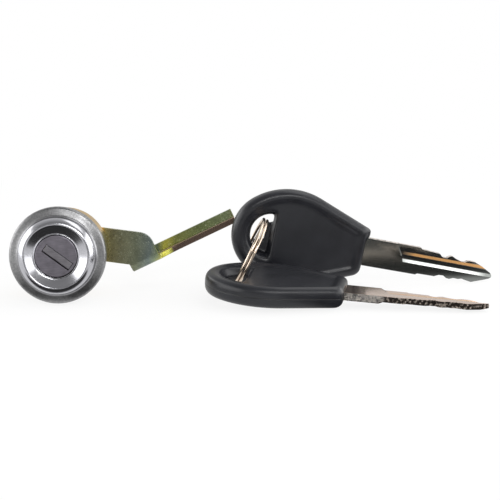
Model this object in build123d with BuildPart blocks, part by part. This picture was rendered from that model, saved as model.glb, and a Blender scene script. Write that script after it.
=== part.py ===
import os
from math import acos, asin, atan, atan2, cos, degrees, hypot, pi, radians, sin, sqrt

from build123d import *

os.makedirs("parts", exist_ok=True)

# Millimetres. +Z is up, the table is at z = 0, and the lock's face looks along -Y.
# The lock lies on the rear edge of its flange and on its rear cup. Beside it, two keys
# hang on one split ring: key 1 stands on its edge and key 2 lies flat in front of it.

# fits
fit = 0.05
running_fit = 0.08
turning_gap = 0.3

# flange and bezel, measured from the flange's front plane
flange_radius = 14.0
rim_depth = 2.6
bezel_wall = 0.6
band_inner_radius = 11.2
band_rise = 0.45
crest_radius = 9.5
crest_height = 4.0
crest_round = 0.9
crest_slope = 60.0
rim_round = 0.6
slope_sag = 0.22
face_height = 2.8
bezel_mouth_radius = 6.3
bezel_mouth_height = 2.4
gasket_thickness = 1.4
gasket_radius = 13.2

# barrel and rear cup
cup_radius = 12.2
cup_wall = 1.0
cup_depth = 19.5
cup_front_depth = 10.0
barrel_depth = 13.0
neck_radius = 7.8
clip_slot_depth = 6.8
clip_slot_width = 1.6
clip_flat_distance = 9.2
rib_width = 3.0
rib_height = 1.0
rib_length = 2.6
window_gap = 0.35
window_margin = 6.0

# plug, turned so that its keyway lies as in the photograph
keyway_angle = -36.0
plug_radius = 6.0
plug_shoulder_radius = 6.9
plug_shoulder_length = 1.0
face_cap_thickness = 0.5
keyway_length = 8.9
keyway_width = 2.7
keyway_depth = 17.2
slot_length = 9.4
slot_width = 2.6
slot_shift = 0.5
tail_radius = 4.2
tail_flat = 3.0
tail_end = 1.0
retainer_groove = 0.7
wafer_groove = 1.1

# shutter
flap_width = 2.2
flap_thickness = 0.7
flap_pin_radius = 0.3
flap_pin_height = 1.1
flap_pin_offset = 2.4
flap_knuckle_radius = 0.55
flap_spring_length = 2.2
flap_gap = 0.15
flap_bevel = 0.25
flap_web = 0.2

# wafers
wafer_count = 6
wafer_pitch = 2.3
wafer_first_depth = 3.2
wafer_thickness = 1.0
wafer_width = 6.8
wafer_window_length = 8.7
wafer_spring_radius = 0.55
wafer_spring_bore = 0.3
wafer_spring_length = 3.6
wafer_spring_gap = 0.1
lug_start = 2.05
lug_thickness = 0.8
lug_root = 0.4

# return spring
coil_radius = 9.2
coil_wire = 1.2
coil_pitch = 1.66
coil_turns = 2.25
coil_bend = 1.5
coil_first_depth = 14.0
housing_leg = 1.6

# lever, one folded sheet; its arm runs up to the right
sheet = 1.6
lever_depth = 21.2
hub_radius = 7.75
strip_width = 10.1
strip_fall = 7.4
arm_rise = 25.5
fold_radius = 0.7
fold_start = 15.2
plate_end = 24.5
plate_corner_radius = 5.0
arm_length = 49.6
arm_below_axis = 15.25
arm_height = 4.4
arm_set_back = 8.4
arm_shelf = 2.9
arm_sweep = 6.8
lever_travel = 80.0
washer_radius = 6.9
retainer_radius = 5.8
retainer_thickness = 0.8

# keys
head_half_length = 17.8
head_half_width = 14.7
head_end_radius = 12.9
head_shift = 2.0
head_thickness = 6.5
head_rounding = 2.2
head_length = 25.3
collar_half = 7.2
collar_low_radius = 3.0
field_rim = 3.0
field_depth = 0.65
hole_radius = 6.2
hole_offset = 3.9
hole_chamfer = 0.7
blade_length = 41.0
blade_width = 8.6
blade_thickness = 2.3
blade_step = 17.5
blade_step_height = 0.25
tang_length = 13.0
tang_width = 5.6
mill_start = 8.8
mill_depth = 0.5
mill_width = 2.7
groove_width = 1.2
groove_depth = 0.55
top_cuts = ((22.2, 0.0), (23.6, 1.2), (26.2, 1.0), (27.0, 1.8), (29.4, 1.4), (33.0, 1.5))
low_cuts = ((23.3, 0.0), (25.6, 1.3), (28.3, 0.65), (32.0, 1.2), (35.0, 0.75))
tip_half = 1.6

# split ring
ring_radius = 11.6
ring_wire = 0.8
ring_turn_gap = 0.45
ring_lean = 25.96
ring_twist = 1.58
ring_jog_at = 320.0
ring_jog = 30.0

# layout on the table, from the middle of the whole layout
lock_x = -58.14
lock_y = -9.68
key_1_x = 7.36
key_1_y = 13.91
key_1_yaw = 6.41
key_1_drop = 11.49
key_1_ring_point = (-7.05, 2.42)
key_1_ring_angle = 48.4
key_2_yaw = -9.6
key_2_roll = 2.61
key_2_drop = 3.49
key_2_lift = 0.73
key_2_ring_point = (-6.4, 1.94)


def turned(plane, angle):
    """The same plane, turned about its own normal."""
    a = radians(angle)
    return Plane(
        origin=plane.origin,
        x_dir=plane.x_dir * cos(a) + plane.y_dir * sin(a),
        z_dir=plane.z_dir,
    )


# frames
# The lock tips back until the flange and the smaller rear cup both touch the table.
lock_tilt = degrees(atan((flange_radius - cup_radius) / (cup_depth - rim_depth)))
lock_z = flange_radius * cos(radians(lock_tilt)) + rim_depth * sin(radians(lock_tilt))
lock = Plane(
    origin=(lock_x, lock_y, lock_z),
    x_dir=(1, 0, 0),
    z_dir=(0, -cos(radians(lock_tilt)), sin(radians(lock_tilt))),
)
lock_axis = Axis(lock.origin, lock.z_dir)
lock_section = Plane(origin=lock.origin, x_dir=lock.x_dir, z_dir=-lock.y_dir)
plug = turned(lock, keyway_angle)
plug_section = Plane(origin=plug.origin, x_dir=plug.y_dir, z_dir=plug.x_dir)


# depths behind the flange's front plane
seat_depth = rim_depth + gasket_thickness
barrel_radius = cup_radius - cup_wall - fit
neck_depth = cup_depth - cup_wall - fit
bore_radius = plug_radius + running_fit
plug_front = face_height - face_cap_thickness
shoulder_front = plug_front - 2 * bezel_wall
shoulder_back = shoulder_front - plug_shoulder_length
retainer_depth = lever_depth + sheet + fit
tail_depth = retainer_depth + retainer_thickness + tail_end

# The spring's rear leg lies against the lever's top edge; the front leg is in the housing.
leg_radius = hypot(coil_radius, coil_bend)
leg_lead = degrees(atan2(coil_bend, coil_radius))
leg_reach = hub_radius + coil_wire / 2 + fit
moving_leg_angle = 90 - strip_fall - degrees(acos(leg_reach / leg_radius))
coil_end_angle = moving_leg_angle - leg_lead
coil_start_angle = coil_end_angle - 360 * coil_turns
fixed_leg_angle = coil_start_angle - leg_lead


def export(name, part, colour):
    """Label a finished piece, colour it and write it to its own file."""
    part.label = name
    part.color = Color(*colour)
    export_step(part, f"parts/{name}.step")


polished_steel = (0.80, 0.81, 0.83)
die_cast_zinc = (0.62, 0.63, 0.64)
yellow_zinc = (0.72, 0.60, 0.28)
brass = (0.78, 0.64, 0.34)
spring_steel = (0.50, 0.51, 0.53)
black_rubber = (0.15, 0.15, 0.16)


def biarc_chain(stations):
    """Add two tangent arcs between each pair of (point, direction) stations."""
    for (start, leave), (end, arrive) in zip(stations, stations[1:]):
        across = end - start
        both = leave + arrive
        a = both.dot(both) - 4
        b = -2 * across.dot(both)
        c = across.dot(across)
        reach = -c / b if abs(a) < 1e-9 else (-b - sqrt(b * b - 4 * a * c)) / (2 * a)
        first = start + leave * reach
        last = end - arrive * reach
        joint = (first + last) * 0.5
        TangentArc(start, joint, tangent=leave)
        TangentArc(joint, end, tangent=last - first)


def least_gap(path, wire, apart):
    """Smallest clear gap between stretches of one wire that are well apart along it."""
    count = int(path.length / (wire / 2))
    points = [path @ (i / count) for i in range(count + 1)]
    step = path.length / count
    skip = int(apart / step)
    nearest = min(
        (points[i] - points[j]).length
        for i in range(len(points))
        for j in range(i + skip, len(points))
    )
    return nearest - wire


# bezel: a polished steel cap pressed over the flange
band_foot = Vector(band_inner_radius, band_rise)
crest_side = Vector(crest_radius + crest_round, crest_height - crest_round)
slope_middle = (band_foot + crest_side) * 0.5 - Vector(slope_sag, slope_sag / 2)
crest_inside = Vector(
    crest_radius - crest_round * sin(radians(crest_slope)),
    crest_height - crest_round * (1 - cos(radians(crest_slope))),
)
with BuildSketch(lock_section) as bezel_outline:
    with BuildLine():
        Polyline(
            (bezel_mouth_radius, bezel_mouth_height),
            (bezel_mouth_radius, -rim_depth),
            (flange_radius, -rim_depth),
            (flange_radius, -rim_round),
        )
        TangentArc((flange_radius, -rim_round), (flange_radius - rim_round, 0), tangent=(0, 1))
        Line((flange_radius - rim_round, 0), band_foot)
        ThreePointArc(band_foot, slope_middle, crest_side)
        ThreePointArc(crest_side, (crest_radius, crest_height), crest_inside)
        Line(crest_inside, (bezel_mouth_radius, bezel_mouth_height))
    make_face()

with BuildSketch(lock_section) as nose_outline:
    add(bezel_outline.sketch_local)
    offset(amount=-bezel_wall, mode=Mode.REPLACE)

with BuildPart() as bezel_cap:
    with BuildSketch(lock_section):
        add(bezel_outline.sketch_local)
        add(nose_outline.sketch_local, mode=Mode.SUBTRACT)
        with Locations((0, -rim_depth)):
            Rectangle(
                flange_radius - bezel_wall,
                bezel_wall,
                align=(Align.MIN, Align.MIN),
                mode=Mode.SUBTRACT,
            )
            Rectangle(
                bezel_mouth_radius + bezel_wall,
                rim_depth + shoulder_front,
                align=(Align.MIN, Align.MIN),
                mode=Mode.SUBTRACT,
            )
    revolve(axis=lock_axis)
export("bezel_cap", bezel_cap.part, polished_steel)

# housing: die-cast flange, barrel and neck around the plug's bore
with BuildPart() as lock_housing:
    with BuildSketch(lock_section):
        add(nose_outline.sketch_local)
        with Locations((0, -rim_depth)):
            Rectangle(flange_radius - bezel_wall, bezel_wall, align=(Align.MIN, Align.MIN))
        with Locations((0, -barrel_depth)):
            Rectangle(barrel_radius, barrel_depth - bezel_wall, align=(Align.MIN, Align.MIN))
        with Locations((0, -neck_depth)):
            Rectangle(neck_radius, neck_depth, align=(Align.MIN, Align.MIN))
        Rectangle(2 * bore_radius, 3 * cup_depth, mode=Mode.SUBTRACT)
        with Locations((0, shoulder_back - fit)):
            Rectangle(
                plug_shoulder_radius + running_fit,
                crest_height,
                align=(Align.MIN, Align.MIN),
                mode=Mode.SUBTRACT,
            )
    revolve(axis=lock_axis)
    # grooves in the bore that the wafers drop into when the key is out
    with BuildSketch(plug.offset(-wafer_first_depth + wafer_thickness)):
        Rectangle(2 * (plug_radius + wafer_groove), wafer_width + 4 * fit)
    extrude(
        amount=-(wafer_pitch * (wafer_count - 1) + 2 * wafer_thickness), mode=Mode.SUBTRACT
    )
    # slots across both sides of the barrel for the clip that holds the lock to its panel
    with BuildSketch(lock.offset(-clip_slot_depth)):
        with Locations((clip_flat_distance, 0), (-clip_flat_distance, 0)):
            Rectangle(2 * (barrel_radius - clip_flat_distance), 2 * barrel_radius)
        Rectangle(2 * clip_flat_distance, 3 * barrel_radius, mode=Mode.SUBTRACT)
    extrude(amount=-clip_slot_width, mode=Mode.SUBTRACT)
    # rib that stops the lock from turning in its panel
    with BuildSketch(lock.offset(-rim_depth)):
        with Locations((0, -barrel_radius)):
            Rectangle(rib_width, 2 * rib_height)
    extrude(amount=-(gasket_thickness + rib_length))
    # hole that anchors the return spring's front leg
    with BuildSketch(lock.offset(-barrel_depth)):
        with PolarLocations(leg_radius, 1, start_angle=fixed_leg_angle):
            Circle(coil_wire / 2 + fit)
    extrude(amount=housing_leg + fit, mode=Mode.SUBTRACT)
export("lock_housing", lock_housing.part, die_cast_zinc)

# gasket between the flange and the panel, notched for the rib
with BuildPart() as sealing_gasket:
    with BuildSketch(lock.offset(-rim_depth)):
        Circle(gasket_radius)
        Circle(barrel_radius + fit, mode=Mode.SUBTRACT)
        with Locations((0, -barrel_radius)):
            Rectangle(rib_width + 2 * fit, 2 * (rib_height + fit), mode=Mode.SUBTRACT)
    extrude(amount=-gasket_thickness)
export("sealing_gasket", sealing_gasket.part, black_rubber)

# rear cup, yellow zinc, with a window for the spring's moving leg
window_arc = Edge.make_circle(
    leg_radius,
    start_angle=moving_leg_angle - window_margin,
    end_angle=moving_leg_angle + lever_travel + window_margin,
)
with BuildPart() as spring_cup:
    with BuildSketch(lock.offset(-cup_front_depth)):
        Circle(cup_radius)
    extrude(amount=-(cup_depth - cup_front_depth))
    fillet(
        spring_cup.edges().filter_by(GeomType.CIRCLE).sort_by(lock_axis)[0], cup_wall * 0.8
    )
    with BuildSketch(lock.offset(-cup_front_depth)):
        Circle(cup_radius - cup_wall)
    extrude(amount=-(cup_depth - cup_front_depth - cup_wall), mode=Mode.SUBTRACT)
    with BuildSketch(lock.offset(-cup_depth)):
        Circle(tail_radius + turning_gap)
        SlotArc(window_arc, coil_wire + 2 * window_gap)
    extrude(amount=2 * cup_wall, both=True, mode=Mode.SUBTRACT)
export("spring_cup", spring_cup.part, yellow_zinc)

# return spring around the neck
def around(angle, radius, depth):
    """Point on the lock's axis frame at an angle, a radius and a depth behind the flange."""
    a = radians(angle)
    return lock.from_local_coords(Vector(radius * cos(a), radius * sin(a), -depth))


def along(angle, sink):
    """Unit direction round the lock's axis at an angle, sinking by the given slope."""
    a = radians(angle)
    way = lock.x_dir * -sin(a) + lock.y_dir * cos(a) - lock.z_dir * sink
    return way.normalized()


coil_slope = coil_pitch / (2 * pi * coil_radius)
coil_quarters = round(4 * coil_turns)
coil_stations = [
    (around(fixed_leg_angle, leg_radius, coil_first_depth - coil_bend), -lock.z_dir)
]
for quarter in range(coil_quarters + 1):
    wound = 360 * coil_turns * quarter / coil_quarters
    at = coil_start_angle + wound
    deep = coil_first_depth + coil_pitch * wound / 360
    coil_stations.append((around(at, coil_radius, deep), along(at, coil_slope)))
coil_last_depth = coil_first_depth + coil_pitch * coil_turns
coil_stations.append(
    (around(moving_leg_angle, leg_radius, coil_last_depth + coil_bend), -lock.z_dir)
)

with BuildPart() as return_spring:
    with BuildLine() as coil_path:
        Line(
            around(fixed_leg_angle, leg_radius, barrel_depth - housing_leg),
            coil_stations[0][0],
        )
        biarc_chain(coil_stations)
        Line(
            coil_stations[-1][0],
            around(moving_leg_angle, leg_radius, lever_depth + sheet),
        )
    with BuildSketch(Plane(origin=coil_path.wire() @ 0, z_dir=coil_path.wire() % 0)):
        Circle(coil_wire / 2)
    sweep()
export("return_spring", return_spring.part, spring_steel)
coil_gap = least_gap(coil_path.wire(), coil_wire, 3 * coil_radius)
print("return spring least gap", round(coil_gap, 2))

# plug: shoulder, body with keyway, wafer slots and shutter pocket, and flatted tail
wafer_depths = [wafer_first_depth + wafer_pitch * i for i in range(wafer_count)]
lug_sides = [1 if i % 2 == 0 else -1 for i in range(wafer_count)]
pocket_low = -flap_width / 2 - 2 * flap_gap
pocket_high = flap_pin_offset + flap_knuckle_radius + flap_gap
pocket_depth = flap_pin_height + flap_pin_offset - pocket_low
pin_level = face_height - flap_pin_height
flap_length = slot_length - 2 * flap_gap
pin_length = 2 * sqrt(plug_radius**2 - flap_pin_offset**2) - 4 * flap_gap
wafer_spring_v = wafer_width / 2 + wafer_spring_radius + wafer_spring_gap
lug_v = (wafer_spring_v + wafer_spring_radius + wafer_width / 2 - lug_root) / 2
lug_width = 2 * (wafer_spring_v + wafer_spring_radius - lug_v)
spring_pocket_start = lug_start - wafer_spring_length - fit
spring_pocket_length = lug_start + lug_thickness + fit - spring_pocket_start

with BuildPart() as plug_core:
    with BuildSketch(lock.offset(plug_front)):
        Circle(plug_radius)
    extrude(amount=-(plug_front + neck_depth - fit))
    with BuildSketch(lock.offset(shoulder_front - fit)):
        Circle(plug_shoulder_radius)
    extrude(amount=-(shoulder_front - shoulder_back - fit))
    with BuildSketch(lock.offset(-neck_depth + fit)):
        Circle(tail_radius)
        Rectangle(4 * tail_radius, 2 * tail_flat, mode=Mode.INTERSECT)
    extrude(amount=-(tail_depth - neck_depth + fit))
    # groove for the retainer
    with BuildSketch(lock.offset(-retainer_depth + fit)):
        Circle(2 * tail_radius)
        Circle(tail_radius - retainer_groove, mode=Mode.SUBTRACT)
    extrude(amount=-(retainer_thickness + 2 * fit), mode=Mode.SUBTRACT)
    # keyway, and the pocket that the shutter swings into
    with BuildSketch(plug.offset(plug_front)):
        Rectangle(keyway_length, keyway_width)
    extrude(amount=-(plug_front + keyway_depth), mode=Mode.SUBTRACT)
    with BuildSketch(plug.offset(plug_front)):
        with Locations((slot_shift, (pocket_low + pocket_high) / 2)):
            Rectangle(slot_length, pocket_high - pocket_low)
    extrude(amount=face_cap_thickness - pocket_depth, mode=Mode.SUBTRACT)
    with BuildSketch(plug_section.offset(-pin_length / 2)):
        with Locations((flap_pin_offset, pin_level)):
            Circle(flap_pin_radius + fit / 2)
    extrude(amount=pin_length, mode=Mode.SUBTRACT)
    # one slot for each wafer, with its spring's pocket beside it
    for depth, side in zip(wafer_depths, lug_sides):
        with BuildSketch(plug.offset(-depth + wafer_thickness / 2 + fit)):
            Rectangle(3 * plug_radius, wafer_width + 2 * fit)
        extrude(amount=-(wafer_thickness + 2 * fit), mode=Mode.SUBTRACT)
        with BuildSketch(plug.offset(-depth + wafer_spring_radius + fit)):
            with Locations((spring_pocket_start, side * wafer_spring_v)):
                Rectangle(
                    spring_pocket_length,
                    2 * (wafer_spring_radius + fit),
                    align=(Align.MIN, Align.CENTER),
                )
        extrude(amount=-2 * (wafer_spring_radius + fit), mode=Mode.SUBTRACT)
export("plug_core", plug_core.part, brass)

with BuildPart() as plug_face_cap:
    with BuildSketch(plug.offset(plug_front)):
        Circle(plug_radius + fit)
        with Locations((slot_shift, 0)):
            Rectangle(slot_length, slot_width, mode=Mode.SUBTRACT)
    extrude(amount=face_cap_thickness)
    rim = plug_face_cap.edges().filter_by(GeomType.CIRCLE).sort_by(lock_axis)[-1]
    fillet(rim, face_cap_thickness / 2)
export("plug_face_cap", plug_face_cap.part, polished_steel)

# shutter: a flap flush with the face, two knuckles, a pin and its spring
with BuildPart() as shutter_flap:
    with BuildSketch(plug_section.offset(slot_shift - flap_length / 2)):
        with BuildLine():
            Polyline(
                (-flap_width / 2, face_height - flap_bevel),
                (-flap_width / 2 + flap_bevel, face_height),
                (flap_width / 2, face_height),
                (flap_width / 2, plug_front - 2 * fit),
                (flap_pin_offset, plug_front - 2 * fit),
                (flap_pin_offset, pin_level - flap_knuckle_radius + fit),
                (flap_width / 2 - flap_web, pin_level - flap_web),
                (flap_width / 2 - flap_web, face_height - flap_thickness),
                (-flap_width / 2, face_height - flap_thickness),
                close=True,
            )
        make_face()
        with Locations((flap_pin_offset, pin_level)):
            Circle(flap_knuckle_radius)
            Circle(flap_pin_radius + fit, mode=Mode.SUBTRACT)
    extrude(amount=flap_length)
    with BuildSketch(plug_section.offset(slot_shift - flap_spring_length / 2 - fit)):
        with Locations((flap_pin_offset, pin_level)):
            Circle(flap_knuckle_radius + flap_web)
    extrude(amount=flap_spring_length + 2 * fit, mode=Mode.SUBTRACT)
export("shutter_flap", shutter_flap.part, polished_steel)

with BuildPart() as shutter_pin:
    with BuildSketch(plug_section.offset(-pin_length / 2)):
        with Locations((flap_pin_offset, pin_level)):
            Circle(flap_pin_radius)
    extrude(amount=pin_length)
export("shutter_pin", shutter_pin.part, spring_steel)

with BuildPart() as shutter_spring:
    with BuildSketch(plug_section.offset(slot_shift - flap_spring_length / 2)):
        with Locations((flap_pin_offset, pin_level)):
            Circle(flap_knuckle_radius)
            Circle(flap_pin_radius + fit, mode=Mode.SUBTRACT)
    extrude(amount=flap_spring_length)
export("shutter_spring", shutter_spring.part, spring_steel)

# wafers, shown level with the plug as when the right key is in
for number, (depth, side) in enumerate(zip(wafer_depths, lug_sides), start=1):
    with BuildPart() as wafer:
        with BuildSketch(plug.offset(-depth + wafer_thickness / 2)):
            Circle(plug_radius - fit)
            Rectangle(3 * plug_radius, wafer_width, mode=Mode.INTERSECT)
            Rectangle(wafer_window_length, keyway_width, mode=Mode.SUBTRACT)
            with Locations((lug_start + lug_thickness / 2, side * lug_v)):
                Rectangle(lug_thickness, lug_width)
        extrude(amount=-wafer_thickness)
    export(f"wafer_{number}", wafer.part, brass)

with BuildPart() as wafer_springs:
    for depth, side in zip(wafer_depths, lug_sides):
        with BuildSketch(plug_section.offset(lug_start - wafer_spring_length)):
            with Locations((side * wafer_spring_v, -depth)):
                Circle(wafer_spring_radius)
                Circle(wafer_spring_bore, mode=Mode.SUBTRACT)
        extrude(amount=wafer_spring_length)
export("wafer_springs", wafer_springs.part, spring_steel)


# lever: hub plate, shelf folded back under it, and the angle-section arm
def arm_point(run, rise):
    """Point in the lock's cross plane from distances along and above the arm's direction."""
    a = radians(arm_rise)
    return (run * cos(a) - rise * sin(a), run * sin(a) + rise * cos(a))


def on_edge_line(run, distance):
    """Where the line across the arm at run meets a strip edge this far from the hub."""
    turn = radians(arm_rise + strip_fall)
    return arm_point(run, (distance - run * sin(turn)) / cos(turn))


def beside_hub(distance):
    """Foot of a strip edge that lies this far from the hub's centre."""
    return (distance * sin(radians(strip_fall)), distance * cos(radians(strip_fall)))


arm_back = lever_depth + arm_set_back
arm_out = turned(lock, arm_rise)
shelf_plane = Plane(
    origin=lock.origin - arm_out.y_dir * arm_below_axis, x_dir=arm_out.x_dir, z_dir=arm_out.y_dir
)
strip_low = hub_radius - strip_width
plate_corner = on_edge_line(plate_end, hub_radius)

with BuildPart() as lever:
    with BuildSketch(lock.offset(-lever_depth)) as hub_plate:
        with BuildLine():
            Polyline(
                beside_hub(hub_radius),
                plate_corner,
                arm_point(plate_end, -arm_below_axis),
                arm_point(fold_start, -arm_below_axis),
                on_edge_line(fold_start, strip_low),
                beside_hub(strip_low),
                close=True,
            )
        make_face()
        fillet(
            hub_plate.vertices().sort_by_distance(Vector(*plate_corner, 0))[0],
            plate_corner_radius,
        )
        Circle(hub_radius)
        with BuildSketch(mode=Mode.SUBTRACT):
            Circle(tail_radius + fit)
            Rectangle(4 * tail_radius, 2 * (tail_flat + fit), mode=Mode.INTERSECT)
    extrude(amount=-sheet)
    with BuildSketch(shelf_plane):
        with BuildLine():
            sweep_foot = (plate_end + arm_sweep, arm_back - arm_shelf)
            sweep_start = (plate_end, lever_depth + sheet + 1.3 * fold_radius)
            Polyline(
                sweep_start,
                (plate_end, lever_depth),
                (fold_start, lever_depth),
                (fold_start, arm_back),
                (arm_length, arm_back),
                (arm_length, arm_back - arm_shelf),
                sweep_foot,
            )
            TangentArc(sweep_foot, sweep_start, tangent=(-1, 0))
        make_face()
    extrude(amount=sheet)
    with BuildSketch(shelf_plane):
        with Locations(((fold_start + arm_length) / 2, arm_back - sheet / 2)):
            Rectangle(arm_length - fold_start, sheet)
    extrude(amount=arm_height)
    for depth, rise, radius in (
        (lever_depth, 0, fold_radius + sheet),
        (lever_depth + sheet, sheet, fold_radius),
        (arm_back, 0, fold_radius + sheet),
        (arm_back - sheet, sheet, fold_radius),
    ):
        spot = shelf_plane.from_local_coords(Vector((fold_start + plate_end) / 2, depth, rise))
        fillet(
            lever.edges()
            .filter_by(Axis(lock.origin, arm_out.x_dir))
            .sort_by_distance(spot)[0],
            radius,
        )
export("lever", lever.part, yellow_zinc)

with BuildPart() as lever_spacer:
    with BuildSketch(lock.offset(-lever_depth)):
        Circle(washer_radius)
        Circle(tail_radius + fit, mode=Mode.SUBTRACT)
    extrude(amount=lever_depth - cup_depth - turning_gap / 2)
export("lever_spacer", lever_spacer.part, spring_steel)

with BuildPart() as lever_retainer:
    with BuildSketch(lock.offset(-retainer_depth)):
        Circle(retainer_radius)
        Circle(tail_radius - retainer_groove, mode=Mode.SUBTRACT)
        with Locations((0, -retainer_radius)):
            Rectangle(1.3 * tail_radius, 2 * retainer_radius, mode=Mode.SUBTRACT)
    extrude(amount=-retainer_thickness)
export("lever_retainer", lever_retainer.part, spring_steel)


# keys
def resting_plane(x, y, lift, yaw, drop, roll):
    """Key frame with x along the blade and z out of its face, lifted off where its head rests."""
    a, d, r = radians(yaw), radians(drop), radians(roll)
    out = Vector(cos(d) * cos(a), cos(d) * sin(a), -sin(d))
    side = Vector(-sin(a), cos(a), 0)
    normal = out.cross(side) * cos(r) - side * sin(r)
    across = normal.cross(out)
    height = (
        hypot(
            (head_half_length - head_rounding) * out.Z,
            (head_half_width - head_rounding) * across.Z,
        )
        - head_shift * out.Z
        + (head_thickness / 2 - head_rounding) * normal.Z
        + head_rounding
        + lift
    )
    return Plane(origin=(x, y, height), x_dir=out, z_dir=normal)


def key_blade(key):
    """Flat blade with both edges cut, a milled side and a groove, and a tang."""
    half = blade_width / 2
    cut_half = half - blade_step_height
    tip = head_length + blade_length
    with BuildPart() as blade:
        with BuildSketch(key):
            with BuildLine():
                Polyline(
                    (head_length, half),
                    (head_length + blade_step, half),
                    (head_length + blade_step, cut_half),
                    *[(head_length + x, cut_half - cut) for x, cut in top_cuts],
                    (tip - tip_half, tip_half),
                    (tip, tip_half / 3),
                    (tip, -tip_half / 3),
                    (tip - tip_half, -tip_half),
                    *[(head_length + x, cut - cut_half) for x, cut in reversed(low_cuts)],
                    (head_length + blade_step, -cut_half),
                    (head_length + blade_step, -half),
                    (head_length, -half),
                    close=True,
                )
            make_face()
            with Locations((head_length - tang_length, 0)):
                Rectangle(2 * tang_length, tang_width, align=(Align.MIN, Align.CENTER))
        extrude(amount=blade_thickness / 2, both=True)
        for face in (1, -1):
            with BuildSketch(key.offset(face * blade_thickness / 2)):
                with Locations((head_length + mill_start, face * (half - mill_width))):
                    Rectangle(
                        blade_length,
                        mill_width + 1,
                        align=(Align.MIN, Align.MIN if face > 0 else Align.MAX),
                    )
            extrude(amount=-face * mill_depth, mode=Mode.SUBTRACT)
            with BuildSketch(key.offset(face * blade_thickness / 2)):
                with Locations((head_length + mill_start + mill_width, -face * groove_width / 4)):
                    Rectangle(blade_length, groove_width, align=(Align.MIN, Align.CENTER))
            extrude(amount=-face * groove_depth, mode=Mode.SUBTRACT)
    return blade.part


def key_head(key):
    """Moulded head with a raised rim and a half-round hole, round the blade's tang."""
    field_floor = head_thickness / 2 - field_depth
    # the head's oval is made of two end arcs and two wider side arcs that meet smoothly
    end_centre = head_half_length - head_end_radius
    side_radius = (end_centre**2 + head_half_width**2 - head_end_radius**2) / (
        2 * (head_half_width - head_end_radius)
    )
    side_centre = side_radius - head_half_width
    meeting = end_centre * side_radius / (side_radius - head_end_radius)
    with BuildSketch() as sides:
        with Locations((head_shift, -side_centre)):
            Circle(side_radius)
        with Locations((head_shift, side_centre)):
            Circle(side_radius, mode=Mode.INTERSECT)
        with Locations((head_shift, 0)):
            Rectangle(2 * meeting, 2 * head_half_width, mode=Mode.INTERSECT)
    with BuildPart() as head:
        with BuildSketch(key) as outline:
            with Locations((head_shift - end_centre, 0), (head_shift + end_centre, 0)):
                Circle(head_end_radius)
            add(sides.sketch_local)
            with Locations((head_length, 0)):
                Rectangle(field_rim, 2 * collar_half, align=(Align.MAX, Align.CENTER))
            make_hull()
            corner = Vector(head_length, -collar_half, 0)
            fillet(outline.vertices().sort_by_distance(corner)[0], collar_low_radius)
        extrude(amount=head_thickness / 2, both=True)
        end_face = head.faces().sort_by(Axis(key.origin, key.x_dir))[-1]
        loops = head.edges().filter_by(
            lambda edge: abs(
                abs((edge.center() - key.origin).dot(key.z_dir)) - head_thickness / 2
            ) < 1e-3
        )
        fillet(loops - end_face.edges(), head_rounding)
        for face in (1, -1):
            with BuildSketch(key.offset(face * head_thickness / 2)):
                add(outline.sketch_local)
                offset(amount=-field_rim, mode=Mode.REPLACE)
            extrude(amount=-face * field_depth, mode=Mode.SUBTRACT)
        with BuildSketch(key):
            with Locations((-hole_offset, 0)):
                Circle(hole_radius)
                Rectangle(
                    2 * hole_radius,
                    2 * hole_radius,
                    align=(Align.MAX, Align.CENTER),
                    mode=Mode.INTERSECT,
                )
        extrude(amount=head_thickness, both=True, mode=Mode.SUBTRACT)
        hole = key.from_local_coords(Vector(-hole_offset, 0, 0))
        hole_edges = head.edges().filter_by(
            lambda edge: abs((edge.center() - hole).dot(key.z_dir)) > field_floor - fit
            and (edge.center() - hole).length < hypot(hole_radius, field_floor) + fit
        )
        chamfer(hole_edges, hole_chamfer)
        with BuildSketch(key):
            with Locations((head_length - tang_length, 0)):
                Rectangle(2 * tang_length, tang_width, align=(Align.MIN, Align.CENTER))
        extrude(amount=blade_thickness / 2, both=True, mode=Mode.SUBTRACT)
    return head.part


key_1 = resting_plane(key_1_x, key_1_y, 0, key_1_yaw, key_1_drop, 90)

# The ring runs through a chosen point of key 1's hole, and key 2's hole lies round the ring.
ring_flat = Vector(sin(radians(ring_twist)), cos(radians(ring_twist)), 0)
ring_side = Vector(cos(radians(ring_twist)), -sin(radians(ring_twist)), 0)
ring_up = ring_side * sin(radians(ring_lean)) + Vector(0, 0, cos(radians(ring_lean)))
key_1_hold = key_1.from_local_coords(Vector(*key_1_ring_point, 0))
ring_angle_1 = radians(key_1_ring_angle)
ring_centre = key_1_hold - (
    ring_flat * cos(ring_angle_1) + ring_up * sin(ring_angle_1)
) * ring_radius
ring_plane = Plane(origin=ring_centre, x_dir=ring_flat, z_dir=ring_flat.cross(ring_up))

key_2_flat = resting_plane(0, 0, key_2_lift, key_2_yaw, key_2_drop, key_2_roll)
key_2_reach = key_2_flat.from_local_coords(Vector(*key_2_ring_point, 0))
ring_angle_2 = pi - asin(
    (key_2_reach.Z - ring_centre.Z) / (ring_radius * cos(radians(ring_lean)))
)
key_2_hold = ring_centre + (
    ring_flat * cos(ring_angle_2) + ring_up * sin(ring_angle_2)
) * ring_radius
key_2 = Plane(
    origin=key_2_flat.origin + key_2_hold - key_2_reach,
    x_dir=key_2_flat.x_dir,
    z_dir=key_2_flat.z_dir,
)

for name, key in (("key_1", key_1), ("key_2", key_2)):
    export(f"{name}_blade", key_blade(key), polished_steel)
    export(f"{name}_head", key_head(key), black_rubber)


# split ring: two flat turns of one wire, joined by a short step from one to the other
def ring_station(angle, level):
    """Point and direction on the ring at an angle, half a pitch below or above its plane."""
    a = radians(angle)
    lift = (ring_wire + ring_turn_gap) / 2 * level
    place = Vector(ring_radius * cos(a), ring_radius * sin(a), lift)
    way = ring_plane.x_dir * -sin(a) + ring_plane.y_dir * cos(a)
    return (ring_plane.from_local_coords(place), way)


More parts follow.
